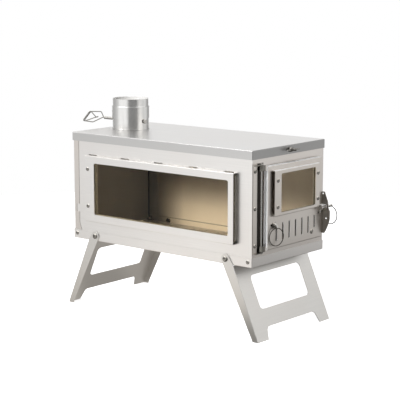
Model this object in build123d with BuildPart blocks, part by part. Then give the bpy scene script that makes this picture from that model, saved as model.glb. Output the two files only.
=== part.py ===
from build123d import *
import math
import os

os.makedirs("parts", exist_ok=True)

# A folding tent wood stove in thin sheet steel, standing on two folding legs.
# X runs along the firebox towards the door, Y away from the long window, Z up.
# The origin lies on the ground under the middle of the whole outline.
# Heights on the walls are counted from the underside of the tray.

# Sheets, and the room left between pieces
sheet = 1.0
leg_sheet = 1.2
snug_gap = 0.05
running_gap = 0.08
hole_gap = 0.1
swing_gap = 0.3
seam_gap = 1.0

# Firebox
firebox_x = 16.8
ground_drop = 121.0
box_height = 190.0
wall_length = 398.4
wall_width = 197.0
tray_gap = 0.3
tray_flange = 16.0
tray_corner = 1.2
lid_gap = 0.8
lid_rim = 15.0
lid_corner = 1.6

# Interlocking corners of the walls
end_flange = 12.0
hook_depth = 6.5
hook_height = 12.0
hook_level = 55.0
hook_round = 2.0
lip_weld = 3.0
slant_top = 29.0
slant_wide = 9.8
return_flange = 10.0
fold_radius = 1.2

# Long window
view_left = -142.0
view_right = 157.0
view_bottom = 48.5
view_drop = 50.7
view_round = 3.0
frame_left = -163.0
frame_right = 167.8
frame_bottom = 35.0
frame_drop = 38.4
glass_thick = 4.0
gasket_thick = 4.0
glass_overlap = 9.0
pane_gap = 0.6
tab_count = 5
tab_pitch = 76.3
tab_width = 19.0
tab_reach = 3.0
slot_rise = 1.1
frame_screw_x = -157.0
frame_screw_low = 62.5
frame_screw_drop = 62.0

# Screws
screw_head = 3.2
screw_shank = 1.5
screw_head_high = 1.4
screw_nut_high = 2.0
head_slope = 30.0

# Door opening in the end wall
opening_left = -66.0
opening_right = 72.0
opening_bottom = 33.0
opening_drop = 35.0
opening_round = 4.0

# Door pan
door_left = -69.0
door_right = 84.0
door_bottom = 25.0
door_drop = 27.6
door_gap = 0.8
door_deep = 7.5
door_corner = 1.6

# Door window
pane_left = -38.5
pane_right = 57.5
pane_bottom = 84.0
pane_drop = 42.0
pane_round = 2.5
door_frame_left = -56.0
door_frame_right = 69.5
door_frame_bottom = 79.0
door_frame_drop = 36.0
door_glass_thick = 3.0
door_gasket_thick = 1.5
door_glass_overlap = 5.0
door_gasket_overlap = 3.5
door_screw_left = -47.6
door_screw_right = 64.8
door_screw_low = 94.0
door_screw_drop = 52.6

# Air vents, their slider and its knob
vent_count = 7
vent_pitch = 17.8
vent_middle = 9.4
vent_wide = 4.0
vent_low = 37.0
vent_high = 66.0
vent_round = 1.6
knob_vent_high = 57.5
guide_vent_low = 44.0
slider_thick = 1.2
slider_left = -58.0
slider_right = 72.0
slider_low = 33.0
slider_high = 70.0
slider_open = 1.2
slider_shut = 7.7
knob_y = -50.3
knob_z = 64.75
knob_shank = 2.0
knob_radius = 3.2
knob_long = 4.5
boss_radius = 5.4
boss_thick = 1.0
knob_eye = 1.4
knob_eye_out = 4.8
knob_eye_drop = 4.4
ear_radius = 2.6
ear_half_high = 2.0
guide_y = 55.4
guide_z = 38.0
guide_head = 3.8

# Wire rings
ring_wire = 0.75
vent_ring_radius = 14.6
vent_ring_turn = 14.0
latch_ring_radius = 15.4
latch_ring_turn = 7.0

# Door hinge
hinge_y = -79.5
hinge_out = 4.0
rod_radius = 1.5
rod_head = 2.3
rod_head_high = 1.4
lug_thick = 1.2
lug_low = 22.3
lug_drop = 25.0
lug_reach = 3.2
strip_left = -97.0
strip_right = -86.6
strip_drop = 22.0
strip_screw_y = -92.0
strip_screw_low = 35.0
strip_screw_drop = 34.0
knuckle_radius = 3.0
knuckle_long = 9.0

# Latch: a rocking plate on a cross pin, with a pull ring in the pin's end
pin_out = 6.5
pin_z = 77.0
pin_radius = 2.2
pin_left = 70.2
pin_right = 105.0
collar_radius = 3.4
collar_thick = 1.5
ring_eye = 1.3
ring_y = 99.9
ear_thick = 1.5
bracket_left = 70.6
bracket_low = 73.2
bracket_top = 81.6
bracket_out = 10.2
cavity_left = 72.6
cavity_low = 66.0
cavity_high = 72.0
plate_y = 86.0
plate_thick = 1.5
plate_inner = -2.5
plate_low = 31.2
plate_foot = 4.2
plate_belly_out = 11.2
plate_belly_z = 45.0
plate_wide = 14.9
plate_wide_z = 57.0
plate_shoulder_z = 69.5
plate_neck = 11.4
plate_neck_low = 77.0
plate_neck_high = 85.0
plate_top = 102.4
plate_tip = 4.2
plate_round = 2.4
finger_low = 66.3
finger_high = 69.6
finger_reach = 7.1
finger_tip_high = 71.6
finger_tip_wide = 1.6
keeper_low = 72.0
keeper_high = 80.0
keeper_top = 90.0
keeper_out = 4.0
keeper_left = 84.8
keeper_right = 92.0

# Lid screw and wing nut at the door end
stud_drop = 7.5
stud_radius = 2.0
stud_out = 13.0
stud_head = 4.0
stud_head_high = 1.5
wing_boss = 4.2
wing_boss_long = 5.0
wing_reach = 12.5
wing_lean = 7.6
wing_root = 1.6
wing_tip = 3.6
wing_thick = 1.6

# Flue collar and damper
flue_x = -152.6
flue_radius = 32.5
flue_height = 55.0
flue_flange = 37.0
spigot_radius = 32.0
spigot_start = 42.0
spigot_slope = 0.8
bead_out = 0.9
bead_high = 1.8
band_low = 20.0
band_high = 41.0
band_thick = 0.8
band_lip = 0.5
band_lip_high = 1.2
shaft_up = 15.5
shaft_radius = 2.75
shaft_flat = 2.0
shaft_reach = 64.6
shaft_nut = 4.0
shaft_nut_long = 3.8
shaft_cover = 1.6
plate_gap = 1.2
damper_thick = 1.2
damper_tilt = 41.0
damper_screw = 1.2
damper_screw_head = 2.2
damper_screw_pitch = 24.0

# Bent wire handle of the damper, a flat coil of two turns
wire_radius = 0.9
wire_level = 1.2
wire_seat = 2.0
wire_neck = 2.5
coil_end = 45.5
coil_top = 12.7
coil_low = -13.4
coil_top_start = 20.0
coil_top_near = 14.4
coil_low_start = 19.0
coil_low_near = -14.4
coil_waist = 18.0
coil_waist_half = 3.0
bend_wide = 4.0
bend_sharp = 3.0
bend_waist = 1.9

# Folding legs
pivot_x = 147.0
pivot_z = 8.5
leg_lean = 23.5
leg_face = 11.5
leg_top = 14.9
leg_tab = 8.5
leg_foot_depth = 9.8
leg_side_gap = 0.3
leg_reach = 155.0
leg_window_half = 67.6
leg_window_top = 37.4
leg_window_low = 95.4
leg_window_round = 7.0
leg_arch_top = 125.4
leg_arch_half = 66.0
leg_arch_flare = 9.6
leg_arch_round = 8.0
leg_fold = 1.4
pivot_shank = 2.5
pivot_head = 4.6
pivot_head_high = 2.2
pivot_nut_high = 3.0
tray_screw_x = 192.0
tray_screw_z = 9.0

# Fire grate
grate_length = 376.0
grate_width = 160.0
grate_top = 9.0
grate_slot_long = 56.0
grate_slot_wide = 5.0
grate_slot_count = 13
grate_slot_pitch = 27.0
grate_row_pitch = 74.0

# Heights that hang from the top of the box
view_top = box_height - view_drop
frame_top = box_height - frame_drop
frame_screw_high = box_height - frame_screw_drop
opening_top = box_height - opening_drop
door_top = box_height - door_drop
pane_top = box_height - pane_drop
door_frame_top = box_height - door_frame_drop
door_screw_high = box_height - door_screw_drop
lug_high = box_height - lug_drop
strip_high = box_height - strip_drop
strip_screw_high = box_height - strip_screw_drop
stud_z = box_height - stud_drop

# Sizes that follow from the ones above
wall_half = wall_length / 2
side_half = wall_width / 2
tray_length = wall_length + 2 * (sheet + tray_gap)
tray_width = wall_width + 2 * (sheet + tray_gap)
lid_length = wall_length + 2 * (sheet + lid_gap)
lid_width = wall_width + 2 * (sheet + lid_gap)
wall_low = sheet
wall_high = box_height - sheet
frame_stand = glass_thick + gasket_thick
door_frame_stand = door_glass_thick + door_gasket_thick
door_front = door_gap + door_deep
door_inner = door_front - sheet
leg_half = tray_width / 2 + leg_side_gap + leg_sheet
damper_radius = flue_radius - sheet - plate_gap

# Planes that the pieces are laid out on: on a wall plane the first coordinate runs
# along the wall and the second one is the height above the underside of the tray
tray_floor = Plane((firebox_x, 0, ground_drop))
lid_top = tray_floor.offset(box_height)
window_wall = Plane((firebox_x, -side_half, ground_drop), x_dir=(1, 0, 0), z_dir=(0, -1, 0))
tray_side = window_wall.offset(sheet + tray_gap)
window_face = window_wall.offset(frame_stand + sheet)
door_wall = Plane((firebox_x + wall_half, 0, ground_drop), x_dir=(0, 1, 0), z_dir=(1, 0, 0))
door_face = door_wall.offset(door_front)
door_frame_face = door_face.offset(door_frame_stand + sheet)

# How a round piece stands on a face: outwards from it, or inwards
outwards = (Align.CENTER, Align.CENTER, Align.MIN)
inwards = (Align.CENTER, Align.CENTER, Align.MAX)


def rect_between(left, right, low, high, rounding=0.0, mode=Mode.ADD):
    """Draw a rectangle from its four edges, with rounded corners if asked."""
    with Locations(((left + right) / 2, (low + high) / 2)):
        if rounding > 0:
            RectangleRounded(right - left, high - low, rounding, mode=mode)
        else:
            Rectangle(right - left, high - low, mode=mode)


def drill(face, spots, radius, depth):
    """Cut round holes inwards from a face."""
    with Locations(face):
        with Locations(spots):
            Cylinder(radius, depth, align=inwards, mode=Mode.SUBTRACT)


def add_screws(face, spots, grip, shank, head, head_high, nut_high):
    """Add screws that clamp a grip under a face: sloped head, shank and hexagon nut."""
    crown = head - head_high * math.tan(math.radians(head_slope))
    with Locations(face):
        with Locations(spots):
            Cone(head, crown, head_high, align=outwards)
            Cylinder(shank, grip + nut_high, align=inwards)
    with BuildSketch(face.offset(-grip)) as nuts:
        with Locations(spots):
            RegularPolygon(head, 6)
    extrude(nuts.sketch, amount=-nut_high)


# Base tray: a shallow folded tray that holds the four walls
pivot_spots = [(-pivot_x, pivot_z), (pivot_x, pivot_z)]
tray_screw_spots = [(-tray_screw_x, tray_screw_z), (tray_screw_x, tray_screw_z)]
with BuildPart() as base_tray:
    with BuildSketch(tray_floor):
        Rectangle(tray_length, tray_width)
    extrude(amount=tray_flange)
    fillet(base_tray.edges().filter_by(Axis.Z), tray_corner)
    fillet(base_tray.faces().sort_by(Axis.Z)[0].edges(), tray_corner)
    offset(amount=-sheet, openings=base_tray.faces().sort_by(Axis.Z)[-1])
    drill(tray_side, pivot_spots, pivot_shank + hole_gap, tray_width)
    drill(tray_side, tray_screw_spots, screw_shank + hole_gap, tray_width)
base_tray.part.label = "base_tray"

# Tray screws: two on each long side
with BuildPart() as tray_screws:
    add_screws(
        tray_side,
        tray_screw_spots,
        3 * sheet + tray_gap,
        screw_shank,
        screw_head,
        screw_head_high,
        screw_nut_high,
    )
    mirror(about=Plane.XZ)
tray_screws.part.label = "tray_screws"

# Leg pivot screws: the legs swing on their shanks
leg_side = window_wall.offset(leg_half - side_half)
with BuildPart() as leg_pivot_screws:
    add_screws(
        leg_side.offset(swing_gap),
        pivot_spots,
        leg_half - side_half + swing_gap + sheet,
        pivot_shank,
        pivot_head,
        pivot_head_high,
        pivot_nut_high,
    )
    mirror(about=Plane.XZ)
leg_pivot_screws.part.label = "leg_pivot_screws"

# Back side wall: a plate whose rear edge steps in behind the rear wall's flange,
# with a hook that drops into the notch of that flange
rear_edge = -wall_half + end_flange + seam_gap
hook_end = rear_edge - hook_depth
with BuildPart() as plain_side_wall:
    with BuildSketch(window_wall):
        with BuildLine():
            Polyline(
                (rear_edge, wall_high),
                (rear_edge, slant_top),
                (rear_edge + slant_wide, wall_low),
                (wall_half, wall_low),
                (wall_half, wall_high),
                close=True,
            )
        make_face()
        rect_between(
            hook_end,
            rear_edge + hook_height,
            hook_level - hook_height / 2,
            hook_level + hook_height / 2,
            hook_round,
        )
    extrude(amount=-sheet)
    with BuildSketch(window_wall.offset(-sheet)):
        rect_between(
            -wall_half + sheet + tray_gap,
            rear_edge + slant_wide + lip_weld,
            wall_low,
            wall_high,
        )
    extrude(amount=-sheet)
    drill(window_wall, pivot_spots, pivot_shank + hole_gap, 2 * sheet)
    drill(window_wall, tray_screw_spots, screw_shank + hole_gap, 2 * sheet)

with BuildPart() as back_side_wall:
    mirror(plain_side_wall.part, about=Plane.XZ)
back_side_wall.part.label = "back_side_wall"

# Window side wall: the same plate, with the long opening and the slots that take the
# tabs of the window frame
frame_screw_spots = [(frame_screw_x, frame_screw_low), (frame_screw_x, frame_screw_high)]
with BuildPart() as window_side_wall:
    add(plain_side_wall.part)
    with BuildSketch(window_wall):
        rect_between(view_left, view_right, view_bottom, view_top, view_round)
        with Locations((0, frame_top + (slot_rise - sheet) / 2)):
            with GridLocations(tab_pitch, 0, tab_count, 1):
                Rectangle(tab_width + 2 * hole_gap, sheet + slot_rise + hole_gap)
        with Locations((0, frame_bottom - (slot_rise - sheet) / 2)):
            with GridLocations(tab_pitch, 0, tab_count, 1):
                Rectangle(tab_width + 2 * hole_gap, sheet + slot_rise + hole_gap)
    extrude(amount=-sheet, mode=Mode.SUBTRACT)
    drill(window_wall, frame_screw_spots, screw_shank + hole_gap, sheet)
window_side_wall.part.label = "window_side_wall"

# Rear end wall: a folded pan whose flanges wrap both long walls
with BuildPart() as rear_end_wall:
    with BuildSketch(tray_floor.offset(wall_low)):
        rect_between(-wall_half, -wall_half + end_flange, -side_half, side_half)
    extrude(amount=wall_high - wall_low)
    with BuildSketch(window_wall):
        with BuildLine():
            Polyline(
                (-wall_half + end_flange, slant_top),
                (-wall_half + end_flange, wall_low),
                (-wall_half + end_flange + slant_wide, wall_low),
                close=True,
            )
        make_face()
    extrude(amount=-sheet)
    mirror(about=Plane.XZ)
    fillet(rear_end_wall.edges().filter_by(Axis.Z).group_by(Axis.X)[0], fold_radius)
    with BuildSketch(tray_floor.offset(wall_low)):
        rect_between(
            -wall_half + sheet,
            -wall_half + end_flange,
            -side_half + sheet,
            side_half - sheet,
        )
    extrude(amount=wall_high, mode=Mode.SUBTRACT)
    with BuildSketch(window_wall):
        rect_between(
            hook_end - seam_gap,
            rear_edge + hook_height,
            hook_level - hook_height / 2 - seam_gap,
            hook_level + hook_height / 2 + seam_gap,
            hook_round,
        )
    extrude(amount=-wall_width, mode=Mode.SUBTRACT)
    drill(window_wall, tray_screw_spots, screw_shank + hole_gap, wall_width)
rear_end_wall.part.label = "rear_end_wall"

# Door end wall: a plate between the long walls, with returns along them
end_half = side_half - sheet
strip_screw_spots = [
    (strip_screw_y, strip_screw_low),
    (strip_screw_y, (strip_screw_low + strip_screw_high) / 2),
    (strip_screw_y, strip_screw_high),
]
with BuildPart() as door_end_wall:
    with BuildSketch(door_wall):
        rect_between(-end_half, end_half, wall_low, wall_high)
    extrude(amount=-return_flange)
    with BuildSketch(door_wall.offset(-sheet)):
        rect_between(-end_half + sheet, end_half - sheet, 0, box_height)
    extrude(amount=-return_flange, mode=Mode.SUBTRACT)
    with BuildSketch(door_wall):
        rect_between(opening_left, opening_right, opening_bottom, opening_top, opening_round)
    extrude(amount=-sheet, mode=Mode.SUBTRACT)
    drill(door_wall, strip_screw_spots, screw_shank + hole_gap, sheet)
    drill(door_wall, [(0, stud_z)], stud_radius + hole_gap, sheet)
    drill(window_wall, tray_screw_spots, screw_shank + hole_gap, wall_width)
door_end_wall.part.label = "door_end_wall"

# Window frame: a raised box, closed on three sides and open at the door end, where the
# glass slides in; its tabs go through the wall
with BuildPart() as window_frame:
    with BuildSketch(window_wall):
        rect_between(frame_left, frame_right, frame_bottom, frame_top)
    extrude(amount=frame_stand + sheet)
    fillet(window_frame.edges().filter_by(Axis.X).group_by(Axis.Y)[0], fold_radius)
    with BuildSketch(window_wall):
        rect_between(frame_left + sheet, frame_right, frame_bottom + sheet, frame_top - sheet)
    extrude(amount=frame_stand, mode=Mode.SUBTRACT)
    with BuildSketch(window_face):
        rect_between(view_left, view_right, view_bottom, view_top, view_round)
    extrude(amount=-sheet, mode=Mode.SUBTRACT)
    for level in (frame_top - sheet / 2, frame_bottom + sheet / 2):
        with BuildSketch(window_wall):
            with Locations((0, level)):
                with GridLocations(tab_pitch, 0, tab_count, 1):
                    Rectangle(tab_width, sheet)
        extrude(amount=-tab_reach)
    drill(window_face, frame_screw_spots, screw_shank + hole_gap, sheet)
window_frame.part.label = "window_frame"

# Window glass and the gasket that presses it against the frame
with BuildPart() as window_glass:
    with BuildSketch(window_face.offset(-sheet)):
        rect_between(
            view_left - glass_overlap,
            frame_right - pane_gap,
            frame_bottom + sheet + pane_gap,
            frame_top - sheet - pane_gap,
            pane_gap,
        )
    extrude(amount=-glass_thick)
window_glass.part.label = "window_glass"

with BuildPart() as window_gasket:
    with BuildSketch(window_wall):
        rect_between(
            view_left - glass_overlap,
            frame_right - pane_gap,
            view_bottom - glass_overlap,
            view_top + glass_overlap,
            view_round,
        )
        rect_between(view_left, view_right, view_bottom, view_top, view_round, Mode.SUBTRACT)
    extrude(amount=gasket_thick)
window_gasket.part.label = "window_gasket"

with BuildPart() as window_frame_screws:
    add_screws(
        window_face,
        frame_screw_spots,
        frame_stand + 2 * sheet,
        screw_shank,
        screw_head,
        screw_head_high,
        screw_nut_high,
    )
window_frame_screws.part.label = "window_frame_screws"

# Hinge strip: screwed beside the door opening, with a lug at each end for the rod
hinge_spot = (wall_half + hinge_out, hinge_y)
with BuildPart() as hinge_strip:
    with BuildSketch(door_wall):
        rect_between(strip_left, strip_right, lug_low, strip_high)
    extrude(amount=sheet)
    for level in (lug_low, lug_high):
        with BuildSketch(tray_floor.offset(level)):
            with Locations(hinge_spot):
                Circle(lug_reach)
            rect_between(wall_half, wall_half + hinge_out + lug_reach, strip_left, hinge_y)
            rect_between(wall_half, wall_half + hinge_out, hinge_y, hinge_y + lug_reach)
        extrude(amount=lug_thick)
    drill(
        tray_floor.offset(strip_high),
        [hinge_spot],
        rod_radius + snug_gap,
        strip_high,
    )
    drill(door_wall.offset(sheet), strip_screw_spots, screw_shank + hole_gap, sheet)
hinge_strip.part.label = "hinge_strip"

with BuildPart() as hinge_strip_screws:
    add_screws(
        door_wall.offset(sheet),
        strip_screw_spots,
        2 * sheet,
        screw_shank,
        screw_head,
        screw_head_high,
        screw_nut_high,
    )
hinge_strip_screws.part.label = "hinge_strip_screws"

# Hinge rod: held in the lugs by its two swaged heads
with BuildPart() as hinge_rod:
    with Locations(tray_floor.offset(lug_low)):
        with Locations(hinge_spot):
            Cylinder(rod_radius, lug_high + lug_thick - lug_low, align=outwards)
            Cylinder(rod_head, rod_head_high, align=inwards)
    with Locations(tray_floor.offset(lug_high + lug_thick)):
        with Locations(hinge_spot):
            Cylinder(rod_head, rod_head_high, align=outwards)
    fillet(hinge_rod.edges().group_by(Axis.Z)[-1], rod_head_high / 2)
hinge_rod.part.label = "hinge_rod"

# Latch keeper: a folded clip on the end wall beside the door
keeper_side = Plane(
    (firebox_x + wall_half, keeper_left, ground_drop), x_dir=(1, 0, 0), z_dir=(0, -1, 0)
)
with BuildPart() as latch_keeper:
    with BuildSketch(keeper_side):
        rect_between(0, sheet, keeper_high - sheet, keeper_top)
        rect_between(0, keeper_out, keeper_high - sheet, keeper_high)
        rect_between(keeper_out - sheet, keeper_out, keeper_low, keeper_high)
    extrude(amount=keeper_left - keeper_right)
latch_keeper.part.label = "latch_keeper"

# Fire grate: a slotted plate on two folded runners
with BuildPart() as fire_grate:
    with BuildSketch(tray_floor.offset(sheet)):
        Rectangle(grate_length, grate_width)
    extrude(amount=grate_top - sheet)
    fillet(fire_grate.edges().filter_by(Axis.X).group_by(Axis.Z)[-1], fold_radius)
    with BuildSketch(tray_floor):
        Rectangle(grate_length, grate_width - 2 * sheet)
    extrude(amount=grate_top - sheet, mode=Mode.SUBTRACT)
    with BuildSketch(tray_floor.offset(grate_top)):
        with GridLocations(grate_slot_pitch, grate_row_pitch, grate_slot_count, 2):
            SlotOverall(grate_slot_long, grate_slot_wide, rotation=90)
    extrude(amount=-sheet, mode=Mode.SUBTRACT)
fire_grate.part.label = "fire_grate"

# Lid: a folded cover with a rim, holed for the flue collar
flue_spot = (flue_x, 0)
with BuildPart() as lid:
    with BuildSketch(lid_top):
        Rectangle(lid_length, lid_width)
    extrude(amount=-lid_rim)
    fillet(lid.edges().filter_by(Axis.Z), lid_corner)
    fillet(lid.faces().sort_by(Axis.Z)[-1].edges(), lid_corner)
    offset(amount=-sheet, openings=lid.faces().sort_by(Axis.Z)[0])
    drill(lid_top, [flue_spot], flue_radius + bead_out + hole_gap, lid_rim)
    drill(door_wall.offset(lid_rim), [(0, stud_z)], stud_radius + hole_gap, lid_rim)
lid.part.label = "lid"

# Lid stud: its head bears on the inside of the end wall
rim_face = sheet + lid_gap
with BuildPart() as lid_stud:
    with Locations(door_wall.offset(-sheet)):
        with Locations((0, stud_z)):
            Cylinder(stud_head, stud_head_high, align=inwards)
            Cylinder(stud_radius, sheet + rim_face + stud_out, align=outwards)
    chamfer(lid_stud.edges().group_by(Axis.X)[-1], stud_radius / 4)
lid_stud.part.label = "lid_stud"

# Wing nut: a round boss with two wings that flare away from the lid
nut_face = door_wall.offset(rim_face + swing_gap)
wing_plane = Plane(
    (firebox_x + wall_half + rim_face + swing_gap, 0, ground_drop + stud_z),
    x_dir=(0, 1, 0),
    z_dir=(0, 0, -1),
)
with BuildPart() as lid_wing_nut:
    with BuildSketch(wing_plane):
        with Locations((wing_boss - wing_root, wing_root)):
            Circle(wing_root)
        with Locations((wing_boss - wing_root, wing_boss_long - wing_root)):
            Circle(wing_root)
        with Locations((wing_reach, wing_lean)):
            Circle(wing_tip)
        make_hull()
    extrude(amount=wing_thick / 2, both=True)
    mirror(about=Plane.XZ)
    with Locations(nut_face):
        with Locations((0, stud_z)):
            Cone(wing_boss, wing_boss - wing_root / 2, wing_boss_long, align=outwards)
            Cylinder(stud_radius + running_gap, stud_out, align=outwards, mode=Mode.SUBTRACT)
lid_wing_nut.part.label = "lid_wing_nut"

# Flue collar: flanged under the lid, beaded inside the lid's hole, and necked down at the
# top, where the stove pipe slides over it
flue_x_true = firebox_x + flue_x
lid_level = ground_drop + box_height
flue_axis = Axis((flue_x_true, 0, 0), (0, 0, 1))
flue_section = Plane((flue_x_true, 0, lid_level), x_dir=(1, 0, 0), z_dir=(0, -1, 0))
shaft_centre = Plane((flue_x_true, 0, lid_level + shaft_up), x_dir=(0, 1, 0), z_dir=(1, 0, 0))
with BuildPart() as flue_collar:
    with BuildSketch(flue_section):
        with BuildLine():
            Polyline(
                (flue_flange, -2 * sheet),
                (flue_flange, -sheet),
                (flue_radius, -sheet),
                (flue_radius, spigot_start - spigot_slope),
                (spigot_radius, spigot_start),
                (spigot_radius, flue_height),
                (spigot_radius - sheet, flue_height),
                (spigot_radius - sheet, spigot_start),
                (flue_radius - sheet, spigot_start - spigot_slope),
                (flue_radius - sheet, -2 * sheet),
                close=True,
            )
        make_face()
        rect_between(
            flue_radius - sheet / 2, flue_radius + bead_out, 0, bead_high, sheet / 3
        )
    revolve(axis=flue_axis)
    with Locations(shaft_centre):
        Cylinder(shaft_radius + running_gap, 2 * flue_flange, mode=Mode.SUBTRACT)
flue_collar.part.label = "flue_collar"

# Flue band: a sleeve round the collar, with a lip at its upper edge
band_inner = flue_radius + snug_gap
with BuildPart() as flue_band:
    with BuildSketch(flue_section):
        rect_between(band_inner, flue_radius + band_thick, band_low, band_high)
        rect_between(
            band_inner,
            flue_radius + band_thick + band_lip,
            band_high - band_lip_high,
            band_high,
        )
    revolve(axis=flue_axis)
flue_band.part.label = "flue_band"

# Damper: a disc on the flat of a shaft, across the flue
tilt = math.radians(damper_tilt)
damper_plane = Plane(
    (flue_x_true, 0, lid_level + shaft_up),
    x_dir=(-1, 0, 0),
    z_dir=(0, math.sin(tilt), -math.cos(tilt)),
)
nut_start = flue_radius + swing_gap
shaft_start = nut_start + shaft_nut_long - shaft_cover
damper_screw_spots = [(-damper_screw_pitch / 2, 0), (damper_screw_pitch / 2, 0)]
shaft_end = damper_plane.origin + damper_plane.x_dir * shaft_reach
handle_plane = Plane(shaft_end, x_dir=damper_plane.x_dir, z_dir=damper_plane.z_dir)
shaft_face = Plane(shaft_end, x_dir=damper_plane.z_dir, z_dir=damper_plane.x_dir)
wire_spots = [(-wire_level, 0), (wire_level, 0)]
with BuildPart() as damper_shaft:
    with Locations(shaft_centre.offset(shaft_start)):
        Cylinder(shaft_radius, shaft_start + shaft_reach, align=inwards)
    with BuildSketch(damper_plane.offset(shaft_flat)):
        Rectangle(2 * (flue_radius - sheet), 2 * shaft_radius)
    extrude(amount=shaft_radius, mode=Mode.SUBTRACT)
    drill(
        damper_plane.offset(shaft_flat),
        damper_screw_spots,
        damper_screw + hole_gap,
        2 * shaft_radius,
    )
    drill(shaft_face, wire_spots, wire_radius + snug_gap, wire_seat)
damper_shaft.part.label = "damper_shaft"

with BuildPart() as damper_plate:
    with BuildSketch(damper_plane.offset(shaft_flat)):
        Circle(damper_radius)
        with Locations(damper_screw_spots):
            Circle(damper_screw + hole_gap, mode=Mode.SUBTRACT)
    extrude(amount=damper_thick)
damper_plate.part.label = "damper_plate"

with BuildPart() as damper_screws:
    with Locations(damper_plane.offset(shaft_flat + damper_thick)):
        with Locations(damper_screw_spots):
            Cone(damper_screw_head, damper_screw, screw_head_high / 2, align=outwards)
            Cylinder(
                damper_screw,
                damper_thick + shaft_flat + shaft_radius,
                align=inwards,
            )
damper_screws.part.label = "damper_screws"

with BuildPart() as damper_shaft_nut:
    with Locations(shaft_centre.offset(nut_start)):
        Cylinder(shaft_nut, shaft_nut_long, align=outwards)
    fillet(damper_shaft_nut.edges().sort_by(Axis.X)[-1], shaft_cover)
    drill(
        shaft_centre.offset(shaft_start),
        [(0, 0)],
        shaft_radius + snug_gap,
        shaft_start - nut_start,
    )
damper_shaft_nut.part.label = "damper_shaft_nut"

# Damper handle: one wire that leaves the shaft, makes two flat turns that cross at a
# waist, and comes back; the second turn lies beside the first one
wire_route = [
    (-wire_seat, 0, wire_level),
    (wire_neck, 0, wire_level),
    (coil_top_start, coil_top_near, wire_level),
    (coil_end, coil_top, wire_level),
    (coil_end, coil_low, wire_level),
    (coil_waist, coil_waist_half, wire_level),
    (coil_waist, -coil_waist_half, -wire_level),
    (coil_end, coil_top, -wire_level),
    (coil_end, coil_low, -wire_level),
    (coil_low_start, coil_low_near, -wire_level),
    (wire_neck, 0, -wire_level),
    (-wire_seat, 0, -wire_level),
]
wire_bends = [
    bend_wide,
    bend_wide,
    bend_wide,
    bend_sharp,
    bend_waist,
    bend_waist,
    bend_sharp,
    bend_wide,
    bend_wide,
    bend_wide,
]
with BuildPart() as damper_handle:
    with BuildLine(handle_plane) as wire_line:
        FilletPolyline(*wire_route, radius=wire_bends)
    wire_path = wire_line.wires()[0]
    with BuildSketch(Plane(wire_path @ 0, z_dir=wire_path % 0)):
        Circle(wire_radius)
    sweep(path=wire_path)
damper_handle.part.label = "damper_handle"

wire_steps = 360
wire_points = [wire_path.position_at(step / wire_steps) for step in range(wire_steps + 1)]
wire_apart = math.ceil(6 * wire_radius * wire_steps / wire_path.length)
least_pitch = min(
    (near - far).length
    for step, near in enumerate(wire_points[:-wire_apart])
    for far in wire_points[step + wire_apart :]
)
print(f"Damper handle: least gap of the wire to itself {least_pitch - 2 * wire_radius:.2f} mm")


def draw_vents(shift):
    """Draw the row of air vents: the first one ends below the knob, the last one starts
    above the guide screw."""
    for step in range(vent_count):
        middle = vent_middle + shift + (step - (vent_count - 1) / 2) * vent_pitch
        low = guide_vent_low if step == vent_count - 1 else vent_low
        high = knob_vent_high if step == 0 else vent_high
        rect_between(middle - vent_wide / 2, middle + vent_wide / 2, low, high, vent_round)


# Door pan: a folded pan, open at the back, on two rolled hinge knuckles
slider_travel = slider_open + slider_shut
knob_slot_y = knob_y + (slider_open - slider_shut) / 2
latch_end = Plane(
    (firebox_x + wall_half + door_front + pin_out, 0, ground_drop + pin_z),
    x_dir=(1, 0, 0),
    z_dir=(0, 1, 0),
)
door_screw_spots = [
    (door_screw_left, door_screw_low),
    (door_screw_left, door_screw_high),
    (door_screw_right, door_screw_low),
    (door_screw_right, door_screw_high),
]
knuckle_low = lug_low + lug_thick + swing_gap
knuckle_high = lug_high - swing_gap - knuckle_long
with BuildPart() as door_pan:
    with BuildSketch(door_wall.offset(door_gap)):
        rect_between(door_left, door_right, door_bottom, door_top)
    extrude(amount=door_deep)
    fillet(door_pan.edges().filter_by(Axis.X), door_corner)
    fillet(door_pan.faces().sort_by(Axis.X)[-1].edges(), door_corner)
    offset(amount=-sheet, openings=door_pan.faces().sort_by(Axis.X)[0])
    with BuildSketch(door_face):
        rect_between(pane_left, pane_right, pane_bottom, pane_top, pane_round)
        draw_vents(0)
        with Locations((knob_slot_y, knob_z)):
            SlotCenterToCenter(slider_travel, 2 * (knob_shank + swing_gap))
        rect_between(cavity_left, door_right - 2 * sheet, cavity_low, cavity_high)
    extrude(amount=-sheet, mode=Mode.SUBTRACT)
    for level in (knuckle_low, knuckle_high):
        with BuildSketch(tray_floor.offset(level)):
            with Locations(hinge_spot):
                Circle(knuckle_radius)
            rect_between(
                wall_half + hinge_out + knuckle_radius - sheet,
                wall_half + hinge_out + knuckle_radius,
                hinge_y,
                door_left + sheet,
            )
        extrude(amount=knuckle_long)
    drill(
        tray_floor.offset(lug_high),
        [hinge_spot],
        rod_radius + running_gap,
        lug_high,
    )
    drill(door_face, door_screw_spots, screw_shank + hole_gap, sheet)
    drill(door_face, [(guide_y, guide_z)], screw_shank + hole_gap, sheet)
door_pan.part.label = "door_pan"

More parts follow.
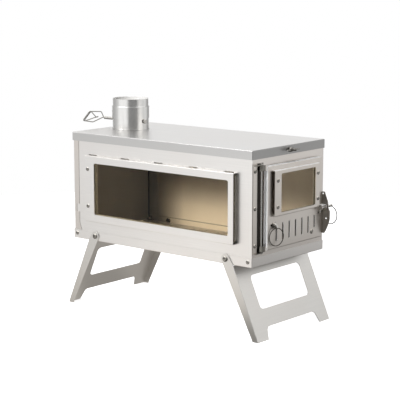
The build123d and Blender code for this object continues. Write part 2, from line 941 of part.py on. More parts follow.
# Door window: a raised frame, open at both ends, with its glass and gasket
with BuildPart() as door_window_frame:
    with BuildSketch(door_face):
        rect_between(door_frame_left, door_frame_right, door_frame_bottom, door_frame_top)
    extrude(amount=door_frame_stand + sheet)
    fillet(door_window_frame.edges().filter_by(Axis.Y).group_by(Axis.X)[-1], fold_radius)
    with BuildSketch(door_face):
        rect_between(
            door_frame_left,
            door_frame_right,
            door_frame_bottom + sheet,
            door_frame_top - sheet,
        )
    extrude(amount=door_frame_stand, mode=Mode.SUBTRACT)
    with BuildSketch(door_frame_face):
        rect_between(pane_left, pane_right, pane_bottom, pane_top, pane_round)
    extrude(amount=-sheet, mode=Mode.SUBTRACT)
    drill(door_frame_face, door_screw_spots, screw_shank + hole_gap, sheet)
door_window_frame.part.label = "door_window_frame"

with BuildPart() as door_glass:
    with BuildSketch(door_frame_face.offset(-sheet)):
        rect_between(
            pane_left - door_glass_overlap,
            pane_right + door_glass_overlap,
            door_frame_bottom + sheet + pane_gap,
            door_frame_top - sheet - pane_gap,
            pane_gap,
        )
    extrude(amount=-door_glass_thick)
door_glass.part.label = "door_glass"

with BuildPart() as door_gasket:
    with BuildSketch(door_face):
        rect_between(
            pane_left - door_gasket_overlap,
            pane_right + door_gasket_overlap,
            pane_bottom - door_gasket_overlap,
            pane_top + door_gasket_overlap,
            pane_round,
        )
        rect_between(pane_left, pane_right, pane_bottom, pane_top, pane_round, Mode.SUBTRACT)
    extrude(amount=door_gasket_thick)
door_gasket.part.label = "door_gasket"

with BuildPart() as door_frame_screws:
    add_screws(
        door_frame_face,
        door_screw_spots,
        door_frame_stand + 2 * sheet,
        screw_shank,
        screw_head,
        screw_head_high,
        screw_nut_high,
    )
door_frame_screws.part.label = "door_frame_screws"

# Vent slider: it runs behind the door face, guided by a screw at one end and by the
# knob's shank at the other end
slider_face = door_wall.offset(door_inner - swing_gap)
with BuildPart() as vent_slider:
    with BuildSketch(slider_face):
        rect_between(slider_left, slider_right, slider_low, slider_high, fold_radius)
    extrude(amount=-slider_thick)
    with BuildSketch(slider_face):
        draw_vents(-slider_open)
        with Locations((guide_y + (slider_shut - slider_open) / 2, guide_z)):
            SlotCenterToCenter(slider_travel, 2 * (screw_shank + swing_gap))
    extrude(amount=-slider_thick, mode=Mode.SUBTRACT)
    drill(slider_face, [(knob_y, knob_z)], knob_shank + snug_gap, slider_thick)
vent_slider.part.label = "vent_slider"

with BuildPart() as vent_guide_screw:
    add_screws(
        door_face,
        [(guide_y, guide_z)],
        sheet + slider_thick + 2 * swing_gap,
        screw_shank,
        guide_head,
        screw_head_high,
        screw_nut_high,
    )
vent_guide_screw.part.label = "vent_guide_screw"

# Vent knob: a stud screwed through the slider, with an ear that holds the pull ring
ring_turn = math.radians(vent_ring_turn)
eye_normal = (math.cos(ring_turn), -math.sin(ring_turn), 0)
eye_along = (math.sin(ring_turn), math.cos(ring_turn), 0)
knob_x = firebox_x + wall_half + door_front + knob_eye_out
eye_z = knob_z - knob_eye_drop
eye_spot = (knob_x, knob_y, ground_drop + eye_z)
ear_plane = Plane(
    (firebox_x + wall_half + door_front, knob_y, ground_drop), x_dir=(1, 0, 0), z_dir=(0, -1, 0)
)
with BuildPart() as vent_knob:
    with Locations(door_face.offset(swing_gap)):
        with Locations((knob_y, knob_z)):
            Cylinder(boss_radius, boss_thick, align=outwards)
            Cylinder(knob_radius, knob_long, align=outwards)
    fillet(vent_knob.edges().group_by(Axis.X)[-1], knob_radius / 2)
    with Locations(slider_face):
        with Locations((knob_y, knob_z)):
            Cylinder(knob_shank, sheet + 2 * swing_gap, align=outwards)
            Cylinder(knob_shank, slider_thick, align=inwards)
    with Locations(slider_face.offset(-slider_thick)):
        with Locations((knob_y, knob_z)):
            Cylinder(knob_shank + sheet, screw_nut_high, align=inwards)
    with BuildSketch(ear_plane):
        rect_between(swing_gap, knob_long, knob_z - ear_half_high, knob_z + ear_half_high)
        with Locations((knob_eye_out, eye_z)):
            Circle(ear_radius)
        make_hull()
    extrude(amount=ear_thick, both=True)
    with Locations(Plane(eye_spot, z_dir=eye_along)):
        Cylinder(knob_eye, 3 * knob_radius, mode=Mode.SUBTRACT)
vent_knob.part.label = "vent_knob"

# Vent ring: it hangs in the eye of the knob's ear
eye_sag = knob_eye - ring_wire - swing_gap
vent_ring_spot = (knob_x, knob_y, ground_drop + eye_z - eye_sag - vent_ring_radius)
with BuildPart() as vent_ring:
    with Locations(Plane(vent_ring_spot, z_dir=eye_normal)):
        Torus(vent_ring_radius, ring_wire)
vent_ring.part.label = "vent_ring"

# Latch bracket: a folded shelf with two ears that hold the latch pin
with BuildPart() as latch_bracket:
    with BuildSketch(door_face):
        rect_between(bracket_left, door_right, bracket_low, bracket_top)
    extrude(amount=bracket_out)
    fillet(latch_bracket.edges().filter_by(Axis.Y).group_by(Axis.X)[-1], 2 * fold_radius)
    with BuildSketch(door_face.offset(sheet)):
        rect_between(
            bracket_left + ear_thick,
            door_right - ear_thick,
            bracket_low,
            bracket_top - sheet,
        )
    extrude(amount=bracket_out, mode=Mode.SUBTRACT)
    drill(
        latch_end.offset(door_right),
        [(0, 0)],
        pin_radius + snug_gap,
        door_right - bracket_left,
    )
latch_bracket.part.label = "latch_bracket"

# Latch pin: two collars keep the latch plate in place, and its end holds the pull ring
plate_outer = plate_y + plate_thick
with BuildPart() as latch_pin:
    with Locations(latch_end.offset(pin_right)):
        Cylinder(pin_radius, pin_right - pin_left, align=inwards)
    with Locations(latch_end.offset(plate_y - swing_gap)):
        Cylinder(collar_radius, plate_y - swing_gap - door_right - snug_gap, align=inwards)
    with Locations(latch_end.offset(plate_outer + swing_gap)):
        Cylinder(collar_radius, collar_thick, align=outwards)
    chamfer(latch_pin.edges().group_by(Axis.Y)[-1], pin_radius / 4)
    with Locations(Plane(latch_end.origin + Vector(0, ring_y, 0), z_dir=(1, 0, 0))):
        Cylinder(ring_eye, 3 * pin_radius, mode=Mode.SUBTRACT)
latch_pin.part.label = "latch_pin"

# Latch handle: the rocking plate, with a hook finger that reaches behind the keeper
latch_side = Plane(
    (firebox_x + wall_half + door_front, plate_y, ground_drop), x_dir=(1, 0, 0), z_dir=(0, -1, 0)
)
tip_middle = (plate_inner + plate_tip) / 2
with BuildPart() as latch_handle:
    with BuildSketch(latch_side) as plate_outline:
        with BuildLine():
            ThreePointArc(
                (plate_foot, plate_low),
                (plate_belly_out, plate_belly_z),
                (plate_wide, plate_wide_z),
            )
            Polyline(
                (plate_wide, plate_wide_z),
                (plate_wide, plate_shoulder_z),
                (plate_neck, plate_neck_low),
                (plate_neck, plate_neck_high),
                (plate_tip, plate_top),
                (plate_inner, plate_top),
                (plate_inner, plate_low),
                (plate_foot, plate_low),
            )
        make_face()
        corners = plate_outline.vertices().sort_by(Axis.Y)
        fillet(corners[0:2] + corners[3:], plate_round)
    extrude(amount=-plate_thick)
    with BuildSketch(latch_side):
        rect_between(-finger_reach, plate_round, finger_low, finger_high)
        rect_between(
            -finger_reach, finger_tip_wide - finger_reach, finger_low, finger_tip_high
        )
    extrude(amount=-plate_thick)
    with BuildSketch(latch_side):
        with Locations((pin_out, pin_z)):
            Circle(pin_radius + running_gap)
        with Locations((tip_middle, plate_top - tip_middle + plate_inner)):
            Circle(screw_shank)
        with Locations((plate_wide / 2, plate_wide_z)):
            Circle(screw_shank)
    extrude(amount=-plate_thick, mode=Mode.SUBTRACT)
latch_handle.part.label = "latch_handle"

# Latch ring: it hangs in the eye of the latch pin
pin_sag = ring_eye - ring_wire - swing_gap
ring_centre = latch_end.origin + Vector(0, ring_y, -pin_sag - latch_ring_radius)
pull_turn = math.radians(latch_ring_turn)
pull_normal = (math.sin(pull_turn), math.cos(pull_turn), 0)
with BuildPart() as latch_ring:
    with Locations(Plane(ring_centre, z_dir=pull_normal)):
        Torus(latch_ring_radius, ring_wire)
latch_ring.part.label = "latch_ring"

# Front leg: a sheet with a window and an arch, folded back along both sides; it is cut
# off level at the ground, and its upper edge stops against the tray
lean = math.radians(leg_lean)
leg_normal = (math.cos(lean), 0, math.sin(lean))
leg_pivot = (firebox_x + pivot_x, 0, ground_drop + pivot_z)
leg_plane = Plane(leg_pivot, x_dir=(0, 1, 0), z_dir=leg_normal)
leg_edge = Plane(
    (firebox_x + pivot_x, -leg_half, ground_drop + pivot_z), x_dir=leg_normal, z_dir=(0, -1, 0)
)
leg_sheet_face = leg_plane.offset(leg_face)
leg_inner_half = leg_half - leg_sheet
with BuildPart() as front_leg:
    with BuildSketch(leg_edge):
        Circle(leg_tab)
        with BuildLine():
            Polyline(
                (leg_face, -leg_top),
                (leg_face, -leg_reach),
                (leg_face - leg_foot_depth, -leg_reach),
                close=True,
            )
        make_face()
        make_hull()
    extrude(amount=-2 * leg_half)
    folds = front_leg.edges().filter_by(Axis((0, 0, 0), leg_plane.y_dir))
    fillet(folds.group_by(Axis((0, 0, 0), leg_normal))[-1], leg_fold)
    with BuildSketch(leg_sheet_face.offset(-leg_sheet)):
        rect_between(-leg_inner_half, leg_inner_half, -leg_reach, leg_tab)
    extrude(amount=-leg_face - leg_tab, mode=Mode.SUBTRACT)
    with BuildSketch(leg_sheet_face):
        rect_between(-leg_inner_half, leg_inner_half, -leg_top, leg_tab)
        rect_between(
            -leg_window_half,
            leg_window_half,
            -leg_window_low,
            -leg_window_top,
            leg_window_round,
        )
    extrude(amount=-leg_sheet, mode=Mode.SUBTRACT)
    with BuildSketch(leg_sheet_face) as arch:
        with BuildLine():
            Polyline(
                (-leg_arch_half, -leg_arch_top),
                (leg_arch_half, -leg_arch_top),
                (leg_arch_half + leg_arch_flare, -leg_reach),
                (-leg_arch_half - leg_arch_flare, -leg_reach),
                close=True,
            )
        make_face()
        fillet(arch.vertices().group_by(Axis.Y)[-1], leg_arch_round)
    extrude(amount=-leg_sheet, mode=Mode.SUBTRACT)
    drill(leg_edge, [(0, 0)], pivot_shank + running_gap, 2 * leg_half)
    split(bisect_by=Plane.XY, keep=Keep.TOP)
front_leg.part.label = "front_leg"

with BuildPart() as rear_leg:
    mirror(front_leg.part, about=Plane.YZ.offset(firebox_x))
rear_leg.part.label = "rear_leg"

pieces = [
    base_tray,
    tray_screws,
    leg_pivot_screws,
    window_side_wall,
    back_side_wall,
    rear_end_wall,
    door_end_wall,
    window_frame,
    window_glass,
    window_gasket,
    window_frame_screws,
    hinge_strip,
    hinge_strip_screws,
    hinge_rod,
    latch_keeper,
    fire_grate,
    lid,
    lid_stud,
    lid_wing_nut,
    flue_collar,
    flue_band,
    damper_shaft,
    damper_plate,
    damper_screws,
    damper_shaft_nut,
    damper_handle,
    door_pan,
    door_window_frame,
    door_glass,
    door_gasket,
    door_frame_screws,
    vent_slider,
    vent_guide_screw,
    vent_knob,
    vent_ring,
    latch_bracket,
    latch_pin,
    latch_handle,
    latch_ring,
    front_leg,
    rear_leg,
]
for piece in pieces:
    export_step(piece.part, f"parts/{piece.part.label}.step")
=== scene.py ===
"""Tent wood stove: sheet finishes, glass, screws, threads and wire, in a plain pale studio."""

import math

import bmesh
import bpy
import numpy as np
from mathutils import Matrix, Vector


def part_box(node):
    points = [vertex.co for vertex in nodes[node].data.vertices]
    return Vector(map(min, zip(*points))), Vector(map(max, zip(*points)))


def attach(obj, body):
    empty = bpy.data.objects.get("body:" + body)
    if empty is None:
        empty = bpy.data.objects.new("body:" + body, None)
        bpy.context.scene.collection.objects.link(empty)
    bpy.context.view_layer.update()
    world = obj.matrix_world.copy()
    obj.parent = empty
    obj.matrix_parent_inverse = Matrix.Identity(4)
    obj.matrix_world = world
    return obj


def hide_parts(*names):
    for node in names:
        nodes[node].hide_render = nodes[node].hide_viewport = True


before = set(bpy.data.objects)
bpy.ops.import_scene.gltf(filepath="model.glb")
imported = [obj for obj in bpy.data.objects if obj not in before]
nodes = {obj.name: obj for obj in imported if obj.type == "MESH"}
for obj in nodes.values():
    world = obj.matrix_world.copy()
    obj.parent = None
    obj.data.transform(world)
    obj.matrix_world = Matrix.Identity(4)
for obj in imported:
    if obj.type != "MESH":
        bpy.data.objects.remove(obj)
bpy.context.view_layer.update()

MM = 0.001

# The camera stands at the photograph's viewing angle
CAMERA_PLACE = (1.4881, -1.7550, 0.5910)
CAMERA_TURN = (1.4005, 0.0, 0.6945)
CAMERA_LENS = 119.99
SENSOR_WIDTH = 36.0
NEAREST = 0.05
FARTHEST = 50.0


def make_camera():
    """The camera, in the place that fits the photograph's view."""
    data = bpy.data.cameras.new("camera")
    data.lens = CAMERA_LENS
    data.sensor_width = SENSOR_WIDTH
    data.clip_start = NEAREST
    data.clip_end = FARTHEST
    camera = bpy.data.objects.new("camera", data)
    camera.location = CAMERA_PLACE
    camera.rotation_euler = CAMERA_TURN
    bpy.context.scene.collection.objects.link(camera)
    bpy.context.scene.camera = camera


# Shader node helpers

# A pattern that isn't squeezed along any axis
EVEN = (1.0, 1.0, 1.0)


def add(tree, kind, inputs=None, **settings):
    """Adds one shader node. An input is a value, or another node's output to link from."""
    made = tree.nodes.new(kind)
    for name, value in settings.items():
        setattr(made, name, value)
    for name, value in (inputs or {}).items():
        if isinstance(value, bpy.types.NodeSocket):
            tree.links.new(value, made.inputs[name])
        else:
            made.inputs[name].default_value = value
    return made


def new_material(name):
    """An empty material with an output, and its tree."""
    material = bpy.data.materials.new(name)
    material.use_nodes = True
    tree = material.node_tree
    tree.nodes.clear()
    return material, tree, add(tree, "ShaderNodeOutputMaterial")


def rgba(colour):
    """The colour with full cover."""
    return (*colour, 1.0)


def scaled(colour, share):
    """The colour times share, kept under full white."""
    return tuple(min(c * share, 0.98) for c in colour)


def own_place(tree):
    """Where a point lies on its piece, which is its place in the frame at rest."""
    return add(tree, "ShaderNodeTexCoord").outputs["Object"]


def own_normal(tree):
    """The piece's own normal, so that a finish turns with a moving piece."""
    return add(tree, "ShaderNodeTexCoord").outputs["Normal"]


def object_noise(tree, scale, stretch=EVEN, detail=3.0, rough=0.55):
    """Noise on Object coordinates: scale is in turns per metre, stretch squeezes it per axis."""
    mapping = add(tree, "ShaderNodeMapping", {"Vector": own_place(tree), "Scale": stretch})
    noise = add(
        tree,
        "ShaderNodeTexNoise",
        {"Vector": mapping.outputs[0], "Scale": scale, "Detail": detail, "Roughness": rough},
    )
    return noise.outputs["Fac"]


def combine(tree, first, second, operation):
    """The sum, product or the like of two values."""
    return add(tree, "ShaderNodeMath", {0: first, 1: second}, operation=operation).outputs[0]


def combine_vectors(tree, first, second, operation):
    """The difference, product or the like of two vectors."""
    return add(tree, "ShaderNodeVectorMath", {0: first, 1: second}, operation=operation)


def spread(tree, value, low, high, start=0.3, end=0.7):
    """Maps a value from start..end to low..high."""
    return add(
        tree,
        "ShaderNodeMapRange",
        {"Value": value, "From Min": start, "From Max": end, "To Min": low, "To Max": high},
    ).outputs[0]


def blend_colour(tree, share, first, second):
    """The first colour where share is zero, and the second where it is one."""
    mixed = add(tree, "ShaderNodeMix", {"Factor": share}, data_type="RGBA")
    for index, colour in ((6, first), (7, second)):
        if isinstance(colour, bpy.types.NodeSocket):
            tree.links.new(colour, mixed.inputs[index])
        else:
            mixed.inputs[index].default_value = rgba(colour)
    return mixed.outputs[2]


# Masks

# How far a normal has to lean a way before a face counts as looking that way
LEAN_START, LEAN_END = 0.25, 0.75


def facing(tree, way):
    """One on faces whose own normal points along way, such as +x, and zero on those across it."""
    side = 1.0 if way[0] == "+" else -1.0
    part = add(tree, "ShaderNodeSeparateXYZ", {0: own_normal(tree)}).outputs["xyz".index(way[1])]
    return spread(tree, part, 0.0, 1.0, side * LEAN_START, side * LEAN_END)


def within(tree, fade, spans):
    """One inside a box and zero outside it, with sides that fade over a length. Each span is an
    axis with its lowest and highest place."""
    axes = add(tree, "ShaderNodeSeparateXYZ", {0: own_place(tree)})
    share = 1.0
    for axis, low, high in spans:
        for start, end in ((low - fade, low + fade), (high + fade, high - fade)):
            side = spread(tree, axes.outputs[axis], 0.0, 1.0, start, end)
            share = combine(tree, share, side, "MULTIPLY")
    return share


def inside_tube(tree, centre):
    """One on the bore of an upright tube and zero outside it, from the normal's lean to its axis."""
    arm = combine_vectors(tree, own_place(tree), centre, "SUBTRACT").outputs[0]
    flat = combine_vectors(tree, arm, (1.0, 1.0, 0.0), "MULTIPLY").outputs[0]
    away = add(tree, "ShaderNodeVectorMath", {0: flat}, operation="NORMALIZE").outputs[0]
    lean = combine_vectors(tree, away, own_normal(tree), "DOT_PRODUCT").outputs["Value"]
    return spread(tree, lean, 1.0, 0.0, -0.5, 0.0)


# Satin sheet: grain, cloud and wave in turns per metre, heights in metres

FINE_GRAIN = 1500.0
BROAD_GRAIN = 420.0
SHEET_CLOUD = 9.0
SHEET_WAVE = 13.0
WAVE_HIGH = 0.22 * MM
SCRATCH_HIGH = 0.03 * MM
GRAIN_DARK, GRAIN_LIGHT = 0.95, 1.04
GRAIN_SHEEN = 0.05
CLOUD_SHEEN = 0.03
WARM_CAST = (0.985, 0.965, 0.955)
WARM_SHARE = 0.55
GRAIN_LONG = 0.012
GRAIN_STRETCH = {
    "x": (GRAIN_LONG, 1.0, 1.0),
    "y": (1.0, GRAIN_LONG, 1.0),
    "z": (1.0, 1.0, GRAIN_LONG),
}

# Faces that are dull, such as the fire's side of a wall, and, made paler, faces with a painted
# highlight
DULL_TONE = (0.92, 0.86, 0.79)
DULL_METAL = 0.25
DULL_ROUGHER = 0.2
DULL_GLOSS = 0.1


def brushed_steel(
    name,
    colour,
    grain,
    roughness=0.36,
    painted_shades=(),
    dull=(),
    painted_light_share=1.0,
    dull_metal=DULL_METAL,
    shade_boxes=(),
):
    """Satin stainless sheet: fine grain along one axis, cloudy sheen, a slight waviness of the
    sheet. Faces that look a listed way get painted shade or a painted highlight. dull names the
    ways of the faces that are warm and scattering, such as the fire's side; a share other than one
    paints shade or a highlight on them, and dull_metal is how metallic they stay. The boxes hold
    tones with the length of their fade, for painted shade and painted shadow."""
    material, tree, output = new_material(name)
    fine = object_noise(tree, FINE_GRAIN, GRAIN_STRETCH[grain], 2.0, 0.6)
    broad = object_noise(tree, BROAD_GRAIN, GRAIN_STRETCH[grain], 3.0, 0.6)
    cloud = object_noise(tree, SHEET_CLOUD, EVEN, 2.0, 0.5)
    strokes = combine(tree, combine(tree, fine, broad, "ADD"), 0.5, "MULTIPLY")
    darker, lighter = scaled(colour, GRAIN_DARK), scaled(colour, GRAIN_LIGHT)
    tone = blend_colour(tree, spread(tree, strokes, 0.0, 1.0), darker, lighter)
    warm = tuple(c * cast for c, cast in zip(colour, WARM_CAST))
    tone = blend_colour(tree, spread(tree, cloud, 0.0, WARM_SHARE), tone, warm)
    # Painted shade or a painted highlight on the faces that look each listed way
    for way, share in painted_shades:
        tone = blend_colour(tree, facing(tree, way), tone, scaled(colour, share))
    metal = 1.0
    grain_sheen = spread(tree, strokes, roughness - GRAIN_SHEEN, roughness + GRAIN_SHEEN)
    cloud_sheen = spread(tree, cloud, -CLOUD_SHEEN, CLOUD_SHEEN)
    sheen = combine(tree, grain_sheen, cloud_sheen, "ADD")
    if dull:
        mask = 0.0
        for way in dull:
            mask = combine(tree, mask, facing(tree, way), "MAXIMUM")
        tone = blend_colour(tree, mask, tone, scaled(DULL_TONE, painted_light_share))
        metal = spread(tree, mask, 1.0, dull_metal, 0.0, 1.0)
        rougher = spread(tree, mask, 0.0, DULL_ROUGHER, 0.0, 1.0)
        sheen = combine(tree, sheen, rougher, "ADD")
    # Painted shade and painted shadow, each tone in its own box
    for shade_tone, fade, *spans in shade_boxes:
        tone = blend_colour(tree, within(tree, fade, spans), tone, shade_tone)
    waves = object_noise(tree, SHEET_WAVE, EVEN, 1.0, 0.4)
    wavy = add(tree, "ShaderNodeBump", {"Height": waves, "Strength": 0.5, "Distance": WAVE_HIGH})
    scratch = add(
        tree,
        "ShaderNodeBump",
        {
            "Height": strokes,
            "Strength": 0.22,
            "Distance": SCRATCH_HIGH,
            "Normal": wavy.outputs[0],
        },
    )
    shader = add(
        tree,
        "ShaderNodeBsdfPrincipled",
        {
            "Base Color": tone,
            "Metallic": metal,
            "Roughness": sheen,
            "Specular IOR Level": DULL_GLOSS,
            "Normal": scratch.outputs[0],
        },
    )
    tree.links.new(shader.outputs[0], output.inputs[0])
    return material


# Bright steel: streaks and ripples in turns per metre

STREAKS = 260.0
STREAK_STRETCH = (1.0, 1.0, 0.06)
STREAK_DARK, STREAK_LIGHT = 0.93, 1.04
RIPPLES = 24.0
RIPPLE_HIGH = 0.06 * MM
BORE_TONE = (0.74, 0.735, 0.72)
BORE_METAL = 0.1


def smooth_steel(name, colour, roughness, bore=None, painted_shades=()):
    """Bright rolled or drawn steel: a soft mirror with faint streaks and small ripples. bore is
    a point on the axis of a tube, whose inside is paler and dull. Faces that look a listed way
    get painted shade or a painted highlight."""
    material, tree, output = new_material(name)
    streaks = object_noise(tree, STREAKS, STREAK_STRETCH, 3.0, 0.6)
    cloud = object_noise(tree, RIPPLES, EVEN, 2.0, 0.5)
    darker, lighter = scaled(colour, STREAK_DARK), scaled(colour, STREAK_LIGHT)
    tone = blend_colour(tree, spread(tree, streaks, 0.0, 1.0), darker, lighter)
    tone = blend_colour(tree, spread(tree, cloud, 0.0, 0.4), tone, scaled(colour, 0.96))
    # Painted shade or a painted highlight on the faces that look each listed way
    for way, share in painted_shades:
        tone = blend_colour(tree, facing(tree, way), tone, scaled(colour, share))
    sheen = spread(tree, cloud, roughness - 0.03, roughness + 0.05)
    bump = add(tree, "ShaderNodeBump", {"Height": cloud, "Strength": 0.4, "Distance": RIPPLE_HIGH})
    metal = 1.0
    if bore:
        mask = inside_tube(tree, bore)
        tone = blend_colour(tree, mask, tone, BORE_TONE)
        metal = spread(tree, mask, 1.0, BORE_METAL, 0.0, 1.0)
    shader = add(
        tree,
        "ShaderNodeBsdfPrincipled",
        {"Base Color": tone, "Metallic": metal, "Roughness": sheen, "Normal": bump.outputs[0]},
    )
    tree.links.new(shader.outputs[0], output.inputs[0])
    return material


# Glass: its film of smoke in turns per metre, and how far it bends and mirrors light

GLASS_FILM = 30.0
FILM_STRETCH = (1.0, 1.0, 0.4)
GLASS_IOR = 1.16
GLASS_GLOSS = 0.05


def stove_glass(name, tint):
    """Clear ceramic pane with a smoky amber body. Lamp and soft light pass straight through it."""
    material, tree, output = new_material(name)
    film = object_noise(tree, GLASS_FILM, FILM_STRETCH, 4.0, 0.6)
    darker, lighter = scaled(tint, 0.96), scaled(tint, 1.03)
    glass = add(
        tree,
        "ShaderNodeBsdfPrincipled",
        {
            "Base Color": blend_colour(tree, spread(tree, film, 0.0, 1.0), darker, lighter),
            "Metallic": 0.0,
            "Roughness": spread(tree, film, 0.01, 0.05),
            "Transmission Weight": 1.0,
            "IOR": GLASS_IOR,
            "Specular IOR Level": GLASS_GLOSS,
        },
    )
    passing = add(tree, "ShaderNodeBsdfTransparent", {"Color": rgba(tint)})
    rays = add(tree, "ShaderNodeLightPath").outputs
    straight = combine(tree, rays["Is Shadow Ray"], rays["Is Diffuse Ray"], "MAXIMUM")
    mixed = add(
        tree,
        "ShaderNodeMixShader",
        {0: straight, 1: glass.outputs[0], 2: passing.outputs[0]},
    )
    tree.links.new(mixed.outputs[0], output.inputs[0])
    return material


# Gasket tape: threads and loose nap in turns per metre

THREADS = 900.0
THREAD_HIGH = 0.3 * MM
NAP = 700.0


def gasket_fibre(name, colour):
    """Woven glass-fibre tape: crossed threads with a loose nap."""
    material, tree, output = new_material(name)
    weave = add(
        tree,
        "ShaderNodeTexVoronoi",
        {"Vector": own_place(tree), "Scale": THREADS, "Randomness": 0.45},
        feature="F1",
    ).outputs["Distance"]
    nap = object_noise(tree, NAP, EVEN, 4.0, 0.7)
    between = spread(tree, weave, 0.0, 1.0, 0.1, 0.8)
    tone = blend_colour(tree, between, scaled(colour, 1.5), scaled(colour, 0.5))
    tone = blend_colour(tree, spread(tree, nap, 0.0, 0.6), tone, scaled(colour, 1.2))
    bump = add(
        tree,
        "ShaderNodeBump",
        {"Height": weave, "Strength": 0.6, "Distance": -THREAD_HIGH},
    )
    shader = add(
        tree,
        "ShaderNodeBsdfPrincipled",
        {
            "Base Color": tone,
            "Roughness": spread(tree, nap, 0.82, 0.98),
            "Normal": bump.outputs[0],
        },
    )
    tree.links.new(shader.outputs[0], output.inputs[0])
    return material


# Painted shade and shadow: in the hinge gap, on lugs and knuckles, along the fold and the corner, and
# on the back wall. PAST is a span's end beyond its piece

strip_low, strip_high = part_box("hinge_strip")
pan_low, pan_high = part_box("door_pan")
wall_low, wall_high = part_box("back_side_wall")
PAST = 50.0 * MM
CRISP = 0.7 * MM
DEEP_SHADE_TONE = (0.035, 0.03, 0.026)
LUG_SHADE_TONE = (0.20, 0.19, 0.17)
FOLD_SHADE_TONE = (0.30, 0.27, 0.22)
PAINTED_SHADOW_TONE = (0.105, 0.083, 0.06)
SHADE_UNDER_STRIP = 12.0 * MM
SHADE_UNDER_PAN = 13.0 * MM
LUG_START = 1.8 * MM
KNUCKLE_REACH = 10.0 * MM
FOLD_HEIGHT = 12.6 * MM
FOLD_WIDTH = 1.3 * MM
CORNER_WIDTH = 3.0 * MM
SHADOW_START = 69.0 * MM
SHADOW_FADE = 26.0 * MM
CORNER_SHADOW = 42.0 * MM
CORNER_FADE = 45.0 * MM
SHADOW_SHORT = 1.7 * MM

# Painted shade: the end wall in the gap by the hinge is made nearly black, for the deep shade there
hinge_gap_shade = (
    DEEP_SHADE_TONE,
    CRISP,
    ("Y", strip_high[1] - SHADE_UNDER_STRIP, pan_low[1] + SHADE_UNDER_PAN),
    ("Z", strip_low[2], strip_high[2]),
)
# Painted shade on the hinge strip's lugs and on the door pan by its knuckles
lug_shade = (LUG_SHADE_TONE, CRISP, ("X", strip_low[0] + LUG_START, strip_high[0] + PAST))
knuckle_shade = (LUG_SHADE_TONE, CRISP, ("Y", pan_low[1] - PAST, pan_low[1] + KNUCKLE_REACH))
# Painted shade along the crease of the back wall's fold
fold_low = wall_low[2] + FOLD_HEIGHT
fold_line = (FOLD_SHADE_TONE, CRISP, ("Z", fold_low, fold_low + FOLD_WIDTH))
# Painted shade in the inside corner of the back wall by the rear end
corner_line = (DEEP_SHADE_TONE, CRISP, ("X", wall_low[0] - PAST, wall_low[0] + CORNER_WIDTH))
# Painted shadow on the back wall's upper part, where the window's top edge shades it. Its sides fade
# over one length, so this shadow meets the wall at about half its strength
shadow_above = (
    PAINTED_SHADOW_TONE,
    SHADOW_FADE,
    ("Z", wall_low[2] + SHADOW_START, wall_high[2] + PAST),
    ("Y", 0.0, wall_high[1] - SHADOW_SHORT),
)
# Painted shade on the back wall towards the rear corner
shadow_corner = (
    PAINTED_SHADOW_TONE,
    CORNER_FADE,
    ("X", wall_low[0] - 2 * PAST, wall_low[0] + CORNER_SHADOW),
)
flue_centre = sum(np.array(corner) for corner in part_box("flue_collar")) / 2

# Tones of the pieces

WALL_TONE = (0.80, 0.785, 0.765)
# The ends and the door are toned darker than the long walls of the same steel: painted shade for the
# sides that face away from the light
END_TONE = (0.70, 0.665, 0.63)
LID_TONE = (0.72, 0.712, 0.70)
DOOR_TONE = (0.66, 0.625, 0.585)
# The slider is nearly black: painted shade for the vent slots that show it
SLIDER_TONE = (0.085, 0.075, 0.065)
LEG_TONE = (0.68, 0.67, 0.647)
FLUE_TONE = (0.73, 0.725, 0.71)
LATCH_TONE = (0.40, 0.38, 0.35)
DAMPER_TONE = (0.62, 0.60, 0.57)
WIRE_TONE = (0.27, 0.26, 0.24)
RING_TONE = (0.075, 0.07, 0.06)
ROD_TONE = (0.50, 0.485, 0.46)
SCREW_TONE = (0.25, 0.24, 0.22)
NUT_TONE = (0.20, 0.19, 0.175)
GRATE_TONE = (0.60, 0.575, 0.54)
GLASS_TINT = (0.965, 0.905, 0.79)
GASKET_TONE = (0.29, 0.275, 0.24)

# How much painted shade darkens, or a painted highlight lightens, the faces that look down, up or to a
# side
LID_SHADES = (("-y", 0.80), ("+y", 0.80), ("+x", 0.46), ("-x", 0.60))
ROD_SHADES = (("-z", 0.3), ("+z", 1.5))
SCREW_SHADES = (("-z", 0.08), ("+z", 3.4))
NUT_SHADES = (("-z", 0.2), ("+z", 1.3))

# Painted highlight on the top edges and turned sides of the door's sheets, and painted shade inside
# the rear end
EDGE_PAINTED_HIGHLIGHT = 1.6
REAR_END_PAINTED_SHADE = 0.35

